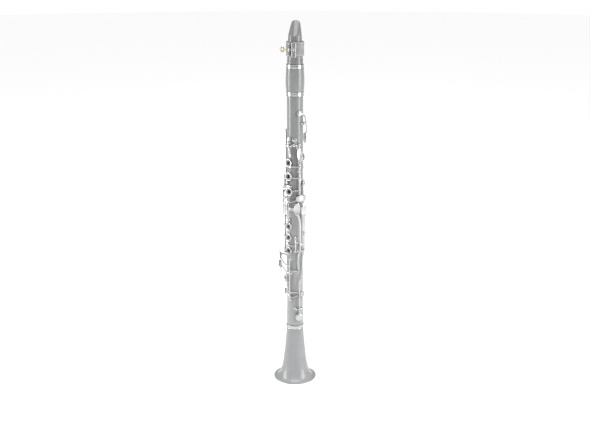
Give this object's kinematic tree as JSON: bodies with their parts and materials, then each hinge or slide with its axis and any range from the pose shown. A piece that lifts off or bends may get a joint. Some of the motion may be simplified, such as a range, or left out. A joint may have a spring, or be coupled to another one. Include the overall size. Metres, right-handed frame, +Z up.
{
  "type": "clarinet",
  "caption": "Boehm-system clarinet standing on its bell, with joints that pull apart, a turning mouthpiece, a screw ligature and sprung keys with pads.",
  "frame": {"origin": "centre of the bell's rim, on the surface that the bell stands on", "axes": "+Z up the bore to the mouthpiece's tip; -Y is the front with the finger holes; +X is the player's left side"},
  "size_m": [0.0786, 0.0786, 0.665],
  "materials": {
    "body_grey": null,
    "ebonite": "polished hard rubber",
    "silver": "bright silver plate",
    "brass": "polished, lacquered",
    "steel": "turned screw heads",
    "cork": "sanded cork",
    "cane": "planed cane",
    "leather": "matt strap",
    "pad_skin": "thin skin over felt"
  },
  "bodies": {
    "bell": {"bell": "body_grey", "bell_ring": "silver"},
    "lower_joint": {"lower_joint": "body_grey", "lower_socket_ring": "silver", "lower_tenon_cork": "cork", "thumb_rest": "silver", "thumb_rest_screw_upper": "steel", "thumb_rest_screw_lower": "steel"},
    "upper_joint": {"upper_joint": "body_grey", "middle_tenon_cork": "cork", "upper_tenon_cork": "cork"},
    "barrel": {"barrel": "body_grey", "barrel_lower_ring": "silver", "barrel_upper_ring": "silver"},
    "mouthpiece": {"mouthpiece": "ebonite", "mouthpiece_cork": "cork", "reed": "cane"},
    "ligature": {"ligature_strap": "leather", "ligature_post_left": "silver", "ligature_post_right": "silver"},
    "ligature_screw": {"ligature_screw": "brass"},
    "register_key": {"register_key": "silver", "register_pad": "pad_skin"},
    "a_key": {"a_key": "silver", "a_pad": "pad_skin"},
    "gsharp_key": {"gsharp_key": "silver", "gsharp_pad": "pad_skin"},
    "lh1_ring_key": {"lh1_ring_key": "silver"},
    "lh_ring_key": {"lh_ring_key": "silver", "lh_ring_pad": "pad_skin"},
    "thumb_ring_key": {"thumb_ring_key": "silver", "thumb_ring_pad": "pad_skin"},
    "csharp_gsharp_key": {"csharp_gsharp_key": "silver", "csharp_gsharp_pad": "pad_skin"},
    "eb_bb_key": {"eb_bb_key": "silver", "eb_bb_pad": "pad_skin"},
    "trill_key_1": {"trill_key_1": "silver", "trill_pad_1": "pad_skin"},
    "trill_key_2": {"trill_key_2": "silver", "trill_pad_2": "pad_skin"},
    "trill_key_3": {"trill_key_3": "silver", "trill_pad_3": "pad_skin"},
    "trill_key_4": {"trill_key_4": "silver", "trill_pad_4": "pad_skin"},
    "rh_ring_key": {"rh_ring_key": "silver", "rh_ring_pad": "pad_skin"},
    "b_fsharp_key": {"b_fsharp_key": "silver", "b_fsharp_pad": "pad_skin"},
    "fsharp_csharp_key": {"fsharp_csharp_key": "silver", "fsharp_csharp_pad": "pad_skin"},
    "e_b_touch_key": {"e_b_touch_key": "silver"},
    "ab_eb_key": {"ab_eb_key": "silver", "ab_eb_pad": "pad_skin"},
    "f_c_key": {"f_c_key": "silver", "f_c_pad": "pad_skin"},
    "e_b_key": {"e_b_key": "silver", "e_b_pad": "pad_skin"},
    "lh_fsharp_lever": {"lh_fsharp_lever": "silver"},
    "lh_e_lever": {"lh_e_lever": "silver"}
  },
  "joints": [
    {"name": "lower_joint_slide", "type": "slide", "parent": "bell", "child": "lower_joint", "axis": [0, 0, 1], "range_m": [0, 0.018]},
    {"name": "upper_joint_slide", "type": "slide", "parent": "lower_joint", "child": "upper_joint", "axis": [0, 0, 1], "range_m": [0, 0.018]},
    {"name": "barrel_slide", "type": "slide", "parent": "upper_joint", "child": "barrel", "axis": [0, 0, 1], "range_m": [0, 0.018]},
    {"name": "mouthpiece_turn", "type": "hinge", "parent": "barrel", "child": "mouthpiece", "pos_m": [0, 0, 0.591], "axis": [0, 0, 1], "continuous": true},
    {"name": "ligature_slide", "type": "slide", "parent": "mouthpiece", "child": "ligature", "axis": [0, 0, 1], "range_m": [0, 0.03]},
    {"name": "ligature_screw_turn", "type": "hinge", "parent": "ligature", "child": "ligature_screw", "pos_m": [0.00778, -0.01668, 0.617], "axis": [0.9063, 0.4226, 0], "continuous": true},
    {"name": "register_key_turn", "type": "hinge", "parent": "upper_joint", "child": "register_key", "pos_m": [0.01695, 0.0079, 0.488], "axis": [-0.4226, 0.9063, 0], "range_deg": [0, 4.5], "stiffness_Nm_per_rad": 0.03, "springref_deg": -2.7},
    {"name": "a_key_turn", "type": "hinge", "parent": "upper_joint", "child": "a_key", "pos_m": [0.0026, -0.01852, 0.449], "axis": [0.9903, 0.1392, 0], "range_deg": [0, 5], "stiffness_Nm_per_rad": 0.03, "springref_deg": -3},
    {"name": "gsharp_key_turn", "type": "hinge", "parent": "upper_joint", "child": "gsharp_key", "pos_m": [0.01474, -0.01151, 0.45], "axis": [0.6157, 0.788, 0], "range_deg": [0, 5], "stiffness_Nm_per_rad": 0.03, "springref_deg": -3},
    {"name": "lh1_ring_key_turn", "type": "hinge", "parent": "upper_joint", "child": "lh1_ring_key", "pos_m": [0.01768, -0.00609, 0.41025], "axis": [0, 0, -1], "range_deg": [0, 3], "stiffness_Nm_per_rad": 0.03, "springref_deg": -1.8},
    {"name": "lh_ring_key_turn", "type": "hinge", "parent": "upper_joint", "child": "lh_ring_key", "pos_m": [0.01768, -0.00609, 0.382], "axis": [0, 0, -1], "range_deg": [0, 2.2], "stiffness_Nm_per_rad": 0.03, "springref_deg": -1.32},
    {"name": "thumb_ring_key_turn", "type": "hinge", "parent": "upper_joint", "child": "thumb_ring_key", "pos_m": [-0.00878, 0.01651, 0.41625], "axis": [0, 0, -1], "range_deg": [0, 4], "stiffness_Nm_per_rad": 0.03, "springref_deg": -2.4},
    {"name": "csharp_gsharp_key_turn", "type": "hinge", "parent": "upper_joint", "child": "csharp_gsharp_key", "pos_m": [0.01856, 0.00228, 0.366], "axis": [0, 0, -1], "range_deg": [0, 5], "stiffness_Nm_per_rad": 0.03, "springref_deg": -3},
    {"name": "eb_bb_key_turn", "type": "hinge", "parent": "upper_joint", "child": "eb_bb_key", "pos_m": [-0.01299, -0.01345, 0.38175], "axis": [0, 0, 1], "range_deg": [0, 4], "stiffness_Nm_per_rad": 0.03, "springref_deg": -2.4},
    {"name": "trill_key_1_turn", "type": "hinge", "parent": "upper_joint", "child": "trill_key_1", "pos_m": [-0.0162, 0.00935, 0.3685], "axis": [0, 0, 1], "range_deg": [0, 5], "stiffness_Nm_per_rad": 0.03, "springref_deg": -3},
    {"name": "trill_key_2_turn", "type": "hinge", "parent": "upper_joint", "child": "trill_key_2", "pos_m": [-0.01798, 0.00515, 0.3835], "axis": [0, 0, 1], "range_deg": [0, 5], "stiffness_Nm_per_rad": 0.03, "springref_deg": -3},
    {"name": "trill_key_3_turn", "type": "hinge", "parent": "upper_joint", "child": "trill_key_3", "pos_m": [-0.01869, 0.00065, 0.402], "axis": [0, 0, 1], "range_deg": [0, 5], "stiffness_Nm_per_rad": 0.03, "springref_deg": -3},
    {"name": "trill_key_4_turn", "type": "hinge", "parent": "upper_joint", "child": "trill_key_4", "pos_m": [-0.01829, -0.00389, 0.422], "axis": [0, 0, 1], "range_deg": [0, 5], "stiffness_Nm_per_rad": 0.03, "springref_deg": -3},
    {"name": "rh_ring_key_turn", "type": "hinge", "parent": "lower_joint", "child": "rh_ring_key", "pos_m": [-0.01651, -0.00878, 0.28125], "axis": [0, 0, 1], "range_deg": [0, 2.5], "stiffness_Nm_per_rad": 0.03, "springref_deg": -1.5},
    {"name": "b_fsharp_key_turn", "type": "hinge", "parent": "lower_joint", "child": "b_fsharp_key", "pos_m": [0.01368, -0.01275, 0.26725], "axis": [0, 0, -1], "range_deg": [0, 2.2], "stiffness_Nm_per_rad": 0.03, "springref_deg": -1.32},
    {"name": "fsharp_csharp_key_turn", "type": "hinge", "parent": "lower_joint", "child": "fsharp_csharp_key", "pos_m": [0.00389, -0.01829, 0.2235], "axis": [0, 0, -1], "range_deg": [0, 3], "stiffness_Nm_per_rad": 0.03, "springref_deg": -1.8},
    {"name": "e_b_touch_key_turn", "type": "hinge", "parent": "lower_joint", "child": "e_b_touch_key", "pos_m": [0.00389, -0.01829, 0.19075], "axis": [0, 0, -1], "range_deg": [0, 3.29], "stiffness_Nm_per_rad": 0.03, "springref_deg": -1.98},
    {"name": "ab_eb_key_turn", "type": "hinge", "parent": "lower_joint", "child": "ab_eb_key", "pos_m": [0.00389, -0.01829, 0.16525], "axis": [0, 0, -1], "range_deg": [0, 2.2], "stiffness_Nm_per_rad": 0.03, "springref_deg": -1.32},
    {"name": "f_c_key_turn", "type": "hinge", "parent": "lower_joint", "child": "f_c_key", "pos_m": [-0.01869, -0.00065, 0.2055], "axis": [0, 0, 1], "range_deg": [0, 4.5], "stiffness_Nm_per_rad": 0.03, "springref_deg": -2.7},
    {"name": "e_b_key_turn", "type": "hinge", "parent": "lower_joint", "child": "e_b_key", "pos_m": [0.01757, -0.0064, 0.142], "axis": [0.342, 0.9397, 0], "range_deg": [0, 1.4], "stiffness_Nm_per_rad": 0.03, "springref_deg": -0.84},
    {"name": "lh_fsharp_lever_turn", "type": "hinge", "parent": "lower_joint", "child": "lh_fsharp_lever", "pos_m": [0.01757, -0.0064, 0.255], "axis": [-0.342, -0.9397, 0], "range_deg": [0, 1.6], "stiffness_Nm_per_rad": 0.03, "springref_deg": -0.96},
    {"name": "lh_e_lever_turn", "type": "hinge", "parent": "lower_joint", "child": "lh_e_lever", "pos_m": [0.01856, 0.00228, 0.255], "axis": [0.1219, -0.9925, 0], "range_deg": [0, 2.39], "stiffness_Nm_per_rad": 0.03, "springref_deg": -1.43}
  ],
  "couplings": [
    {"joint": "lh_fsharp_lever_turn", "follows": "fsharp_csharp_key_turn", "ratio": 0.5328},
    {"joint": "lh_e_lever_turn", "follows": "e_b_key_turn", "ratio": 1.7042},
    {"joint": "e_b_touch_key_turn", "follows": "e_b_key_turn", "ratio": 2.3506}
  ]
}
